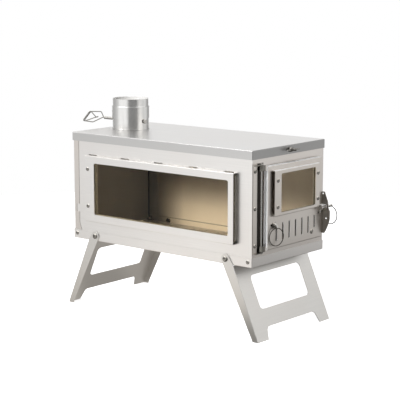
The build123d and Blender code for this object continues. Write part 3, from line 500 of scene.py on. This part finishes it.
finishes = {
    "wall": brushed_steel("wall_satin", WALL_TONE, "x"),
    "window_wall": brushed_steel("window_wall_satin", WALL_TONE, "x", dull=("+y",)),
    "back_wall": brushed_steel(
        "back_wall_satin",
        WALL_TONE,
        "x",
        dull=("-y",),
        shade_boxes=(shadow_above, shadow_corner, fold_line, corner_line),
    ),
    # Painted shade on the rear end's inside faces
    "rear_end": brushed_steel(
        "rear_end_satin", END_TONE, "y", dull=("+x",), painted_light_share=REAR_END_PAINTED_SHADE
    ),
    "door_end": brushed_steel(
        "door_end_satin", END_TONE, "y", dull=("-x",), shade_boxes=(hinge_gap_shade,)
    ),
    "lid": brushed_steel("lid_satin", LID_TONE, "x", 0.33, painted_shades=LID_SHADES),
    # Painted highlight on the door's faces that look up
    "door": brushed_steel("door_satin", DOOR_TONE, "y", dull=("+z",), painted_light_share=EDGE_PAINTED_HIGHLIGHT),
    "strip": brushed_steel("strip_satin", DOOR_TONE, "y", shade_boxes=(lug_shade,)),
    # Painted highlight on the pan's faces that look up and along -y, made fully scattering
    "pan": brushed_steel(
        "pan_satin",
        DOOR_TONE,
        "y",
        dull=("-y", "+z"),
        painted_light_share=EDGE_PAINTED_HIGHLIGHT,
        dull_metal=0.0,
        shade_boxes=(knuckle_shade,),
    ),
    "slider": brushed_steel("slider_dark", SLIDER_TONE, "y", 0.5),
    "leg": brushed_steel("leg_satin", LEG_TONE, "y", 0.38),
    "flue": smooth_steel("flue_bright", FLUE_TONE, 0.2),
    "collar": smooth_steel("collar_bright", FLUE_TONE, 0.2, bore=tuple(flue_centre)),
    "latch": brushed_steel("latch_satin", LATCH_TONE, "z", 0.42),
    "damper": brushed_steel("damper_satin", DAMPER_TONE, "z", 0.34),
    "wire": smooth_steel("wire_drawn", WIRE_TONE, 0.34),
    "ring": smooth_steel("ring_drawn", RING_TONE, 0.34),
    "rod": smooth_steel("rod_bright", ROD_TONE, 0.2, painted_shades=ROD_SHADES),
    "screw": smooth_steel("screw_bright", SCREW_TONE, 0.22, painted_shades=SCREW_SHADES),
    "nut": smooth_steel("nut_dark", NUT_TONE, 0.3, painted_shades=NUT_SHADES),
    "grate": brushed_steel("grate_satin", GRATE_TONE, "x", 0.42),
    "glass": stove_glass("window_glass", GLASS_TINT),
    "gasket": gasket_fibre("gasket_weave", GASKET_TONE),
}

finish_of_node = {
    "base_tray": "wall",
    "window_side_wall": "window_wall",
    "back_side_wall": "back_wall",
    "rear_end_wall": "rear_end",
    "door_end_wall": "door_end",
    "window_frame": "wall",
    "hinge_strip": "strip",
    "latch_keeper": "door",
    "lid": "lid",
    "lid_stud": "nut",
    "lid_wing_nut": "nut",
    "flue_collar": "collar",
    "flue_band": "flue",
    "damper_shaft": "rod",
    "damper_plate": "damper",
    "damper_shaft_nut": "rod",
    "damper_handle": "wire",
    "door_pan": "pan",
    "door_window_frame": "door",
    "vent_slider": "slider",
    "vent_knob": "rod",
    "vent_ring": "ring",
    "latch_bracket": "door",
    "latch_pin": "rod",
    "latch_handle": "latch",
    "latch_ring": "ring",
    "front_leg": "leg",
    "rear_leg": "leg",
    "hinge_rod": "rod",
    "fire_grate": "grate",
    "window_glass": "glass",
    "door_glass": "glass",
    "window_gasket": "gasket",
    "door_gasket": "gasket",
}


def dress_nodes():
    """Gives each carried-over node its finish. Nodes with no entry are screws."""
    for name, node in nodes.items():
        finish = finishes[finish_of_node.get(name, "screw")]
        for slot in node.material_slots:
            slot.material = finish


# Built pieces

# An edge is sharp where its faces turn by more than this
SHARP_TURN = math.radians(38)


def put_piece(name, points, faces, finish, body, node):
    """Puts in one mesh piece of closed shells that rides a body and stands for a node."""
    mesh = bpy.data.meshes.new(name)
    mesh.from_pydata(points.tolist(), [], faces)
    mesh.validate()
    shells = bmesh.new()
    shells.from_mesh(mesh)
    bmesh.ops.recalc_face_normals(shells, faces=shells.faces)
    shells.to_mesh(mesh)
    shells.free()
    mesh.polygons.foreach_set("use_smooth", np.ones(len(mesh.polygons), dtype=bool))
    piece = bpy.data.objects.new(name, mesh)
    bpy.context.scene.collection.objects.link(piece)
    mesh.materials.append(finishes[finish])
    mesh.set_sharp_from_angle(angle=SHARP_TURN)
    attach(piece, body)
    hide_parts(node)


def around(columns):
    """The turns of an even ring, in radians."""
    return np.arange(columns) * (2.0 * math.pi / columns)


def grid_faces(rows, columns, ring=False):
    """Quads of a grid that closes on itself along its columns, and along its rows if ring."""
    row, column = np.meshgrid(np.arange(rows if ring else rows - 1), np.arange(columns), indexing="ij")
    below = (row + 1) % rows
    after = (column + 1) % columns
    quads = np.stack(
        [
            row * columns + column,
            row * columns + after,
            below * columns + after,
            below * columns + column,
        ],
        axis=-1,
    )
    return quads.reshape(-1, 4).tolist()


def capped_faces(rows, columns):
    """Quads of a tube with one flat cap at each end."""
    last = (rows - 1) * columns
    caps = [list(range(columns))[::-1], [last + column for column in range(columns)]]
    return grid_faces(rows, columns) + caps


def joined(shells):
    """One array of points and one list of faces from several shells."""
    points, faces, start = [], [], 0
    for shell_points, shell_faces in shells:
        points.append(shell_points)
        faces += [[start + corner for corner in face] for face in shell_faces]
        start += len(shell_points)
    return np.concatenate(points), faces


def turned(radius, height):
    """A closed turned piece from two arrays of rings by columns: x is radius times the cosine
    of the turn, y is radius times its sine, z is height. Each end is closed by one flat cap."""
    turn = around(radius.shape[1])
    points = np.stack([radius * np.cos(turn), radius * np.sin(turn), height], axis=-1)
    return points.reshape(-1, 3), capped_faces(*radius.shape)


def step(value, low, high):
    """Zero below low, one above high, and an even slope with soft ends between."""
    share = np.clip((value - low) / (high - low), 0.0, 1.0)
    return share * share * (3.0 - 2.0 * share)


# A screw's rings and columns, and its proportions as shares of its head's radius and height
PAN_RINGS = 16
SHOULDER_RINGS = 12
COLUMNS = 72
DOME_POWER = 0.9
CROWN_POWER = 0.5
MIDDLE_REACH, SHOULDER_REACH = 0.02, 0.62
SHOULDER_TURN = 0.68
LEAST_STEP = 0.02
RIM_HIGH = 0.12
BAR_WIDE = 0.13
BAR_LONG = 0.52
BAR_SIDE_START, BAR_SIDE_END = 0.7, 1.5
BAR_TIP_START, BAR_TIP_END = 0.75, 1.1
RECESS_DEEP = 0.6
NUT_EASED = 0.93
NUT_CHAMFER = 0.1
BORE_SHARE = 1.05
TIP_SHARE = 0.9
TIP_HIGH = 0.1 * MM
HEX_TURN = math.pi / 3


def pan_screw(head, head_high, shank, grip, nut_high):
    """A pan head screw with a cross recess and a hexagon nut, outwards along z, its seat at z = 0.
    Head: radius is head times the sine of a quarter turn to the power 0.9, and height is
    head_high times its cosine to the power 0.5. Recess: depth times the greater of two crossed
    bars with soft edges. Nut: radius is head times cos 30 degrees over the cosine of the angle
    from the middle of a flat, and its corners are eased by a small slope."""
    turn = around(COLUMNS)
    even = np.ones(COLUMNS)
    inner_reach = np.linspace(MIDDLE_REACH, SHOULDER_REACH, PAN_RINGS)
    quarter = np.linspace(SHOULDER_TURN, 1.0, SHOULDER_RINGS) * (math.pi / 2)
    outer_reach = np.sin(quarter) ** DOME_POWER
    outer_reach = outer_reach[outer_reach > SHOULDER_REACH + LEAST_STEP]
    reach = np.concatenate([inner_reach, outer_reach])
    lean = np.arcsin(np.clip(reach ** (1 / DOME_POWER), 0.0, 1.0))
    dome = head_high * np.maximum(np.cos(lean), 0.0) ** CROWN_POWER
    dome[-1] = head_high * RIM_HIGH
    flat = reach[:, None] * head * np.stack([np.cos(turn), np.sin(turn)])[:, None, :]
    across, along = np.abs(flat[0]), np.abs(flat[1])
    wide, long = BAR_WIDE * head, BAR_LONG * head
    bars = [
        (1.0 - step(a, wide * BAR_SIDE_START, wide * BAR_SIDE_END))
        * (1.0 - step(b, long * BAR_TIP_START, long * BAR_TIP_END))
        for a, b in ((across, along), (along, across))
    ]
    recess = RECESS_DEEP * head_high * np.maximum(bars[0], bars[1])
    rings_r = [ring * head * even for ring in reach]
    rings_z = [level - dip for level, dip in zip(dome, recess)]
    from_flat = (turn + HEX_TURN / 2) % HEX_TURN - HEX_TURN / 2
    hexagon = head * math.cos(HEX_TURN / 2) / np.cos(from_flat)
    eased = np.minimum(hexagon, head * NUT_EASED)
    for radius, level in (
        (head * even, 0.0),
        (shank * even, 0.0),
        (shank * even, -grip),
        (eased, -grip),
        (hexagon, -grip - NUT_CHAMFER * nut_high),
        (hexagon, -grip - (1.0 - NUT_CHAMFER) * nut_high),
        (eased, -grip - nut_high),
        (shank * BORE_SHARE * even, -grip - nut_high),
        (shank * TIP_SHARE * even, -grip - nut_high - TIP_HIGH),
    ):
        rings_r.append(radius)
        rings_z.append(level * even)
    return turned(np.array(rings_r), np.array(rings_z))


def node_points(name):
    """Every corner of a CAD node, in the frame."""
    mesh = nodes[name].data
    flat = np.empty(len(mesh.vertices) * 3)
    mesh.vertices.foreach_get("co", flat)
    return flat.reshape(-1, 3)


def split_spots(points, gap=12.0 * MM):
    """Splits points into groups at every empty stretch wider than gap along x, y or z, and
    gives the lowest and highest corner of each group."""
    label = np.zeros(len(points), dtype=int)
    for axis in range(3):
        order = np.argsort(points[:, axis])
        jumps = np.diff(points[order, axis], prepend=points[order[0], axis]) > gap
        label[order] += np.cumsum(jumps) * 10**axis
    return [
        (points[label == mark].min(axis=0), points[label == mark].max(axis=0))
        for mark in np.unique(label)
    ]


def placed(points, seat, outward, across):
    """Turns points whose z is outwards to a seat in the frame."""
    third = np.cross(outward, across)
    return seat + points @ np.array([across, third, outward])


# Node, body, axis of the screws, head height, nut height, shank radius, in millimetres
SCREW_SETS = (
    ("tray_screws", "root", 1, 1.4, 2.0, 1.5),
    ("leg_pivot_screws", "root", 1, 2.2, 3.0, 2.5),
    ("window_frame_screws", "root", 1, 1.4, 2.0, 1.5),
    ("hinge_strip_screws", "root", 0, 1.4, 2.0, 1.5),
    ("door_frame_screws", "door", 0, 1.4, 2.0, 1.5),
    ("vent_guide_screw", "door", 0, 1.4, 2.0, 1.5),
)

# How far the first recess of a set is turned, and each next one more, in radians
FIRST_TWIST = 0.35
NEXT_TWIST = 1.1


def make_screws():
    """Pan head screws in place of the plain ones, each in the very spot of its own."""
    for node, body, axis, head_high, nut_high, shank in SCREW_SETS:
        shells = []
        for number, (low, high) in enumerate(split_spots(node_points(node))):
            size = high - low
            middle = (low + high) / 2
            side = 1.0 if axis == 0 else math.copysign(1.0, middle[axis])
            cross = [k for k in range(3) if k != axis]
            head = max(size[cross]) / 2
            outward = np.zeros(3)
            outward[axis] = side
            twist = FIRST_TWIST + NEXT_TWIST * number
            across = np.zeros(3)
            across[cross[0]], across[cross[1]] = math.cos(twist), math.sin(twist)
            seat = middle.copy()
            seat[axis] = (high[axis] if side > 0 else low[axis]) - side * head_high * MM
            grip = size[axis] - (head_high + nut_high) * MM
            points, faces = pan_screw(head, head_high * MM, shank * MM, grip, nut_high * MM)
            shells.append((placed(points, seat, outward, across), faces))
        points, faces = joined(shells)
        put_piece(node + "_fine", points, faces, "screw", body, node)


# Pull rings: the wire's radius, the grid, and the gap and rounding of the butt joint
RING_WIRE = 0.75 * MM
RING_STEPS = 161
RING_SIDES = 24
BUTT_GAP = 0.05 * MM
END_ROUND = 0.25 * MM
END_CUT = 0.97


def make_rings():
    """Pull rings of round wire, each closed by a butt joint at its foot. Formula: the centre
    line is a circle, and the section a circle that shrinks to a rounded end at the joint."""
    for node, body in (("vent_ring", "air_slider_ring"), ("latch_ring", "latch_pull_ring")):
        points = node_points(node)
        middle = (points.min(axis=0) + points.max(axis=0)) / 2
        reach = points - middle
        level = np.array([0.0, 0.0, 1.0])
        normal = np.linalg.svd(reach - reach.mean(axis=0), full_matrices=False)[2][2]
        normal = normal - level * normal[2]
        normal /= np.linalg.norm(normal)
        across = np.cross(level, normal)
        radius = (points[:, 2].max() - points[:, 2].min()) / 2 - RING_WIRE
        gap = BUTT_GAP / radius
        share = np.linspace(0.0, 1.0, RING_STEPS)
        sweep = -math.pi / 2 + gap + share * (2.0 * math.pi - 2.0 * gap)
        end = np.minimum(share, 1.0 - share) * 2.0 * math.pi * radius / END_ROUND
        thick = RING_WIRE * np.sqrt(1.0 - np.clip(1.0 - end, 0.0, END_CUT) ** 2)
        section = around(RING_SIDES)
        outward = np.cos(sweep)[:, None] * across + np.sin(sweep)[:, None] * level
        centre = middle + radius * outward
        ring = centre[:, None, :] + thick[:, None, None] * (
            np.cos(section)[None, :, None] * outward[:, None, :]
            + np.sin(section)[None, :, None] * normal[None, None, :]
        )
        faces = capped_faces(RING_STEPS, RING_SIDES)
        put_piece(node + "_fine", ring.reshape(-1, 3), faces, "ring", body, node)


# The lid's stud: its head, its thread and its tip
STUD_COLUMNS = 48
STUD_HEAD_HIGH = 1.5 * MM
THREAD_CREST = 2.0 * MM
THREAD_DEEP = 0.32 * MM
THREAD_PITCH = 0.7 * MM
STEPS_A_PITCH = 8
THREAD_IN_START, THREAD_IN_END = 0.5 * MM, 1.5 * MM
THREAD_OUT_START, THREAD_OUT_END = 0.9 * MM, 0.3 * MM
TIP_EASED = 0.5 * MM


def make_lid_stud():
    """The lid stud with its thread. Formula: radius is the crest less the thread depth times a
    triangle wave of height over pitch less turn, and it fades out under the head and at the tip."""
    points = node_points("lid_stud")
    low, high = points.min(axis=0), points.max(axis=0)
    middle = (low + high) / 2
    head = (high[2] - low[2]) / 2
    length = high[0] - low[0] - STUD_HEAD_HIGH
    turn = np.arange(STUD_COLUMNS) / STUD_COLUMNS
    level = np.arange(0.0, length, THREAD_PITCH / STEPS_A_PITCH)
    wave = np.abs(((level[:, None] / THREAD_PITCH - turn) % 1.0) * 2.0 - 1.0)
    fade_in = step(level, THREAD_IN_START, THREAD_IN_END)
    fade_out = 1.0 - step(level, length - THREAD_OUT_START, length - THREAD_OUT_END)
    fade = fade_in * fade_out
    tip = TIP_EASED * np.clip((level - (length - TIP_EASED)) / TIP_EASED, 0.0, 1.0)
    radius = THREAD_CREST - THREAD_DEEP * step(wave, 0.1, 0.9) * fade[:, None] - tip[:, None]
    even = np.ones(STUD_COLUMNS)
    head_profile = (
        (0.05 * head, -STUD_HEAD_HIGH),
        (0.86 * head, -STUD_HEAD_HIGH),
        (head, -0.8 * STUD_HEAD_HIGH),
        (head, 0.0),
        (THREAD_CREST, 0.0),
    )
    head_r = np.array([ring * even for ring, _ in head_profile])
    head_z = np.array([height * even for _, height in head_profile])
    all_r = np.concatenate([head_r, radius])
    all_z = np.concatenate([head_z, level[:, None] * even])
    points, faces = turned(all_r, all_z)
    seat = np.array([low[0] + STUD_HEAD_HIGH, middle[1], middle[2]])
    spot = placed(points, seat, np.array([1.0, 0.0, 0.0]), np.array([0.0, 1.0, 0.0]))
    put_piece("lid_stud_fine", spot, faces, "nut", "root", "lid_stud")


# The wing nut: its hub, and the plan, rise and thickness of its wings
HUB_RADIUS = 4.2 * MM
HUB_LONG = 5.0 * MM
HUB_BORE = 2.08 * MM
WING_ROOT = 2.6 * MM
WING_STEPS = 41
WING_SIDES = 32
WING_SLOPE = math.radians(28)
WING_POWER = 0.8
RISE_START = 2.3 * MM
RISE_MORE = 5.3 * MM
RISE_POWER = 1.25
ROOT_HALF = 1.9 * MM
WING_WIDENS = 1.75 * MM
WIDEN_START, WIDEN_END = 0.1, 0.75
PLAN_ROUND_START = 0.72
PLAN_CUT = 0.9995
ROOT_THICK = 1.05 * MM
WING_THINS = 0.35 * MM
EDGE_ROUND_START = 0.9


def wing_nut_hub():
    """The hub: a ring-shaped profile round a bore, turned outwards along z."""
    profile = (
        (HUB_BORE, 0.0),
        (HUB_RADIUS - 0.5 * MM, 0.0),
        (HUB_RADIUS, 0.4 * MM),
        (HUB_RADIUS - 0.2 * MM, 2.0 * MM),
        (HUB_RADIUS - 0.8 * MM, HUB_LONG - 0.6 * MM),
        (HUB_RADIUS - 1.3 * MM, HUB_LONG),
        (HUB_BORE + 0.3 * MM, HUB_LONG),
        (HUB_BORE, HUB_LONG - 0.3 * MM),
    )
    turn = around(COLUMNS)
    even = np.ones(COLUMNS)
    radius = np.array([ring * even for ring, _ in profile])
    height = np.array([level * even for _, level in profile])
    points = np.stack([radius * np.cos(turn), radius * np.sin(turn), height], axis=-1)
    return points.reshape(-1, 3), grid_faces(len(profile), COLUMNS, ring=True)


def wing_nut_wing(reach, side):
    """A wing, from root to tip. Formula: a centre line that leans outwards, a rounded plan that
    widens from root to tip and closes on a half circle, and a section that is a superellipse
    with thin edges."""
    share = (1.0 - np.cos(np.linspace(0.0, math.pi, WING_STEPS))) / 2
    section = around(WING_SIDES)
    out = WING_ROOT + share * (reach - WING_ROOT)
    rise = RISE_START + RISE_MORE * share**RISE_POWER
    near_tip = (share - PLAN_ROUND_START) / (1.0 - PLAN_ROUND_START)
    plan_round = np.sqrt(1.0 - np.clip(near_tip, 0.0, PLAN_CUT) ** 2)
    half = (ROOT_HALF + WING_WIDENS * step(share, WIDEN_START, WIDEN_END)) * plan_round
    near_edge = (share - EDGE_ROUND_START) / (1.0 - EDGE_ROUND_START)
    edge_round = np.sqrt(1.0 - np.clip(near_edge, 0.0, END_CUT) ** 2)
    thick = (ROOT_THICK - WING_THINS * share) * edge_round
    rounded = np.sign(np.cos(section)) * np.abs(np.cos(section)) ** WING_POWER
    edge = np.sign(np.sin(section)) * np.abs(np.sin(section)) ** WING_POWER
    points = np.stack(
        [
            rise[:, None] + half[:, None] * rounded * math.cos(WING_SLOPE),
            side * (out[:, None] - half[:, None] * rounded * math.sin(WING_SLOPE)),
            thick[:, None] * edge,
        ],
        axis=-1,
    )
    return points.reshape(-1, 3), capped_faces(WING_STEPS, WING_SIDES)


def make_wing_nut():
    """The wing nut: a turned hub with a bore, and two pressed wings."""
    points = node_points("lid_wing_nut")
    low, high = points.min(axis=0), points.max(axis=0)
    middle = (low + high) / 2
    seat = np.array([low[0], middle[1], middle[2]])
    reach = (high[1] - low[1]) / 2
    hub, hub_faces = wing_nut_hub()
    outward, across = np.array([1.0, 0.0, 0.0]), np.array([0.0, 1.0, 0.0])
    shells = [(placed(hub, seat, outward, across), hub_faces)]
    for side in (1.0, -1.0):
        wing, wing_faces = wing_nut_wing(reach, side)
        shells.append((seat + wing, wing_faces))
    points, faces = joined(shells)
    put_piece("lid_wing_nut_fine", points, faces, "nut", "wing_nut", "lid_wing_nut")


# Studio

# What metal mirrors round the stove: degrees from +X towards +Y, the brightness of the room
# there, and that of the table close by
SURROUND = (
    (-180, 0.55, 0.40),
    (-166, 0.55, 0.40),
    (-152, 0.72, 0.64),
    (-136, 0.82, 0.80),
    (-124, 1.20, 1.04),
    (-72, 1.20, 1.04),
    (-58, 0.30, 0.25),
    (-8, 0.30, 0.25),
    (6, 0.88, 0.18),
    (68, 0.88, 0.18),
    (80, 0.42, 0.30),
    (102, 0.42, 0.30),
    (116, 0.93, 0.50),
    (152, 0.93, 0.50),
    (164, 0.55, 0.40),
    (180, 0.55, 0.40),
)
ROOM = 1
TABLE = 2
SOFT_LEVEL = 0.15
WHITE = (1.0, 1.0, 1.0)

# Metal that looks up between these slopes mirrors a brighter room
SLOPE_LOW, SLOPE_HIGH = 0.35, 0.8
OVERHEAD = 1.7

# The table: its size, its tone, and how the mirrored brightness changes with distance
FLOOR_RADIUS = 1.3
FLOOR_POINTS = 96
FLOOR_TONE = (0.86, 0.86, 0.86)
FLOOR_LIFT = 0.80
FLOOR_WARM = (1.0, 0.95, 0.89)
TABLE_ENDS = 0.5
WARM_START, WARM_END = 1.0, 0.35


def surround_level(tree, way, column):
    """The brightness that metal mirrors in a direction, from its turn round the stove."""
    axes = add(tree, "ShaderNodeSeparateXYZ", {0: way})
    turn = combine(tree, axes.outputs["Y"], axes.outputs["X"], "ARCTAN2")
    ramp = add(tree, "ShaderNodeValToRGB", {0: spread(tree, turn, 0.0, 1.0, -math.pi, math.pi)})
    stops = ramp.color_ramp.elements
    stops[0].position, stops[-1].position = 0.0, 1.0
    for row in SURROUND[1:-1]:
        stops.new((row[0] + 180) / 360).color = rgba((row[column],) * 3)
    for end in (0, -1):
        stops[end].color = rgba((SURROUND[end][column],) * 3)
    return ramp.outputs[0]


def make_floor():
    """A round pale table. The camera sees it a little lifted, so that it is white and keeps the
    shadow. Metal mirrors it at the level of the table close by, and of the room far off."""
    angle = around(FLOOR_POINTS)
    rim = FLOOR_RADIUS * np.stack([np.cos(angle), np.sin(angle), np.zeros_like(angle)], axis=1)
    mesh = bpy.data.meshes.new("floor")
    mesh.from_pydata(rim.tolist(), [], [list(range(FLOOR_POINTS))])
    floor = bpy.data.objects.new("floor", mesh)
    bpy.context.scene.collection.objects.link(floor)
    material, tree, output = new_material("floor_paper")
    rays = add(tree, "ShaderNodeLightPath").outputs
    seen = combine(tree, rays["Is Camera Ray"], FLOOR_LIFT, "MULTIPLY")
    surface = add(tree, "ShaderNodeBsdfDiffuse", {"Color": rgba(FLOOR_TONE)})
    lift = add(tree, "ShaderNodeEmission", {"Color": rgba(WHITE), "Strength": seen})
    both = add(tree, "ShaderNodeAddShader", {0: surface.outputs[0], 1: lift.outputs[0]})
    place = own_place(tree)
    away = add(tree, "ShaderNodeVectorMath", {0: place}, operation="LENGTH").outputs["Value"]
    fade = spread(tree, away, 0.0, 1.0, TABLE_ENDS, FLOOR_RADIUS)
    near, far = surround_level(tree, place, TABLE), surround_level(tree, place, ROOM)
    level = blend_colour(tree, fade, near, far)
    warm = blend_colour(tree, spread(tree, away, 0.0, 1.0, WARM_START, WARM_END), WHITE, FLOOR_WARM)
    shine = combine_vectors(tree, level, warm, "MULTIPLY")
    mirrored = add(tree, "ShaderNodeEmission", {"Color": shine.outputs[0]})
    final = add(
        tree,
        "ShaderNodeMixShader",
        {0: rays["Is Glossy Ray"], 1: both.outputs[0], 2: mirrored.outputs[0]},
    )
    tree.links.new(final.outputs[0], output.inputs[0])
    mesh.materials.append(material)


def make_world():
    """White for the camera, an even level for soft light, and broad studio panels for gloss."""
    world = bpy.data.worlds.new("studio")
    bpy.context.scene.world = world
    world.use_nodes = True
    tree = world.node_tree
    tree.nodes.clear()
    output = add(tree, "ShaderNodeOutputWorld")
    way = add(tree, "ShaderNodeTexCoord").outputs["Generated"]
    axes = add(tree, "ShaderNodeSeparateXYZ", {0: way})
    level = surround_level(tree, way, ROOM)
    rays = add(tree, "ShaderNodeLightPath").outputs
    mirrored = combine(tree, rays["Is Glossy Ray"], rays["Is Transmission Ray"], "MAXIMUM")
    lift = spread(tree, axes.outputs["Z"], 1.0, OVERHEAD, SLOPE_LOW, SLOPE_HIGH)
    panels = add(tree, "ShaderNodeVectorMath", {0: level, "Scale": lift}, operation="SCALE")
    colour = blend_colour(tree, mirrored, (SOFT_LEVEL,) * 3, panels.outputs[0])
    colour = blend_colour(tree, rays["Is Camera Ray"], colour, WHITE)
    back = add(tree, "ShaderNodeBackground", {"Color": colour, "Strength": 1.0})
    tree.links.new(back.outputs[0], output.inputs[0])


# Name, place, size, power, colour, and whether metal mirrors it. Each faces the stove's middle
LAMPS = (
    ("key", (-0.22, -2.05, 1.22), 0.9, 60.0, WHITE, False),
    ("spark", (-0.9, -1.7, 1.5), 0.3, 3.0, WHITE, True),
    ("top", (-1.1, -1.3, 2.2), 1.5, 14.0, WHITE, True),
    ("roof", (0.3, -0.5, 2.4), 1.6, 16.0, WHITE, False),
    ("fill", (1.9, 0.6, 1.4), 1.2, 7.0, (1.0, 0.97, 0.93), True),
)
STOVE_MIDDLE = (0.0, 0.0, 0.15)


def make_lamps():
    """Square soft lamps that face the stove."""
    for name, place, size, power, colour, mirrored in LAMPS:
        data = bpy.data.lights.new(name, "AREA")
        data.size = size
        data.energy = power
        data.color = colour
        lamp = bpy.data.objects.new(name, data)
        way = Vector(STOVE_MIDDLE) - Vector(place)
        lamp.location = place
        lamp.rotation_euler = way.to_track_quat("-Z", "Y").to_euler()
        lamp.visible_glossy = mirrored
        bpy.context.scene.collection.objects.link(lamp)


make_camera()
dress_nodes()
make_screws()
make_rings()
make_lid_stud()
make_wing_nut()
make_floor()
make_world()
make_lamps()

view = bpy.context.scene.view_settings
view.view_transform = "Standard"
